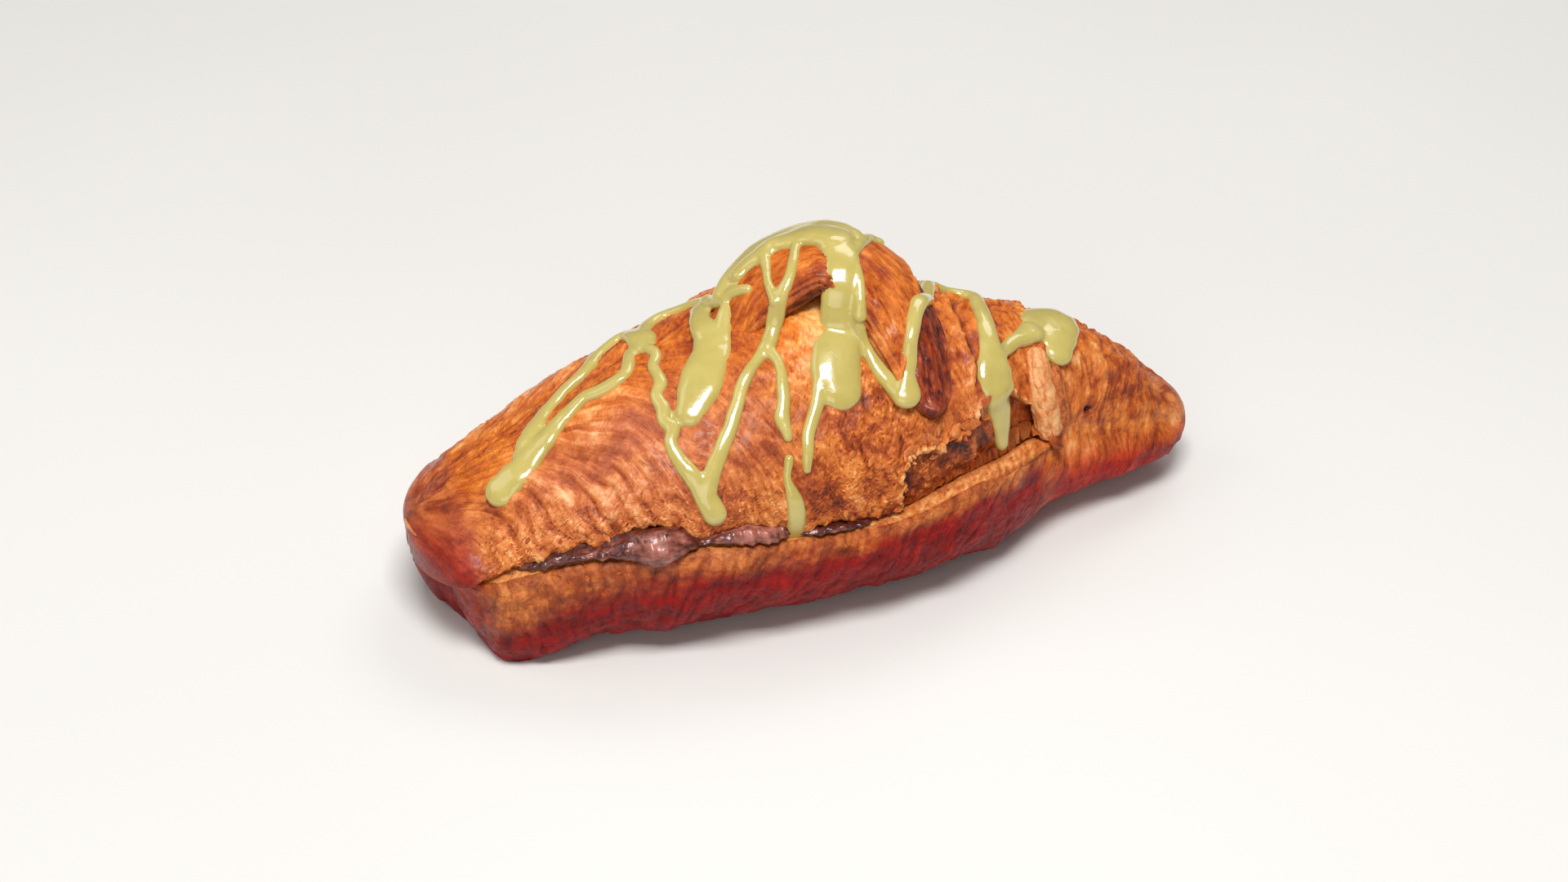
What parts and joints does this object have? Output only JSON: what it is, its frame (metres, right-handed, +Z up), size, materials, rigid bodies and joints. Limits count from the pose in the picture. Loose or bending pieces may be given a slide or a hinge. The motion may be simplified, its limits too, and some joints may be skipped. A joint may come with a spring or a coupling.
{
  "type": "filled croissant",
  "caption": "Baked croissant slit open along its front, with a thin layer of chocolate spread inside and thick pale icing threads poured over the crust.",
  "frame": {"origin": "middle of the flat underside, at the centre of the box seen from above", "axes": "+X along the length towards the pointed end, -Y towards the slit at the front, +Z up"},
  "size_m": [0.165, 0.0691, 0.0661],
  "materials": {
    "crust": "baked, egg-washed, flaky, with matt cut faces",
    "chocolate": "soft spread, half gloss"
  },
  "bodies": {
    "root": {"croissant": "crust", "filling": "chocolate"}
  },
  "joints": []
}
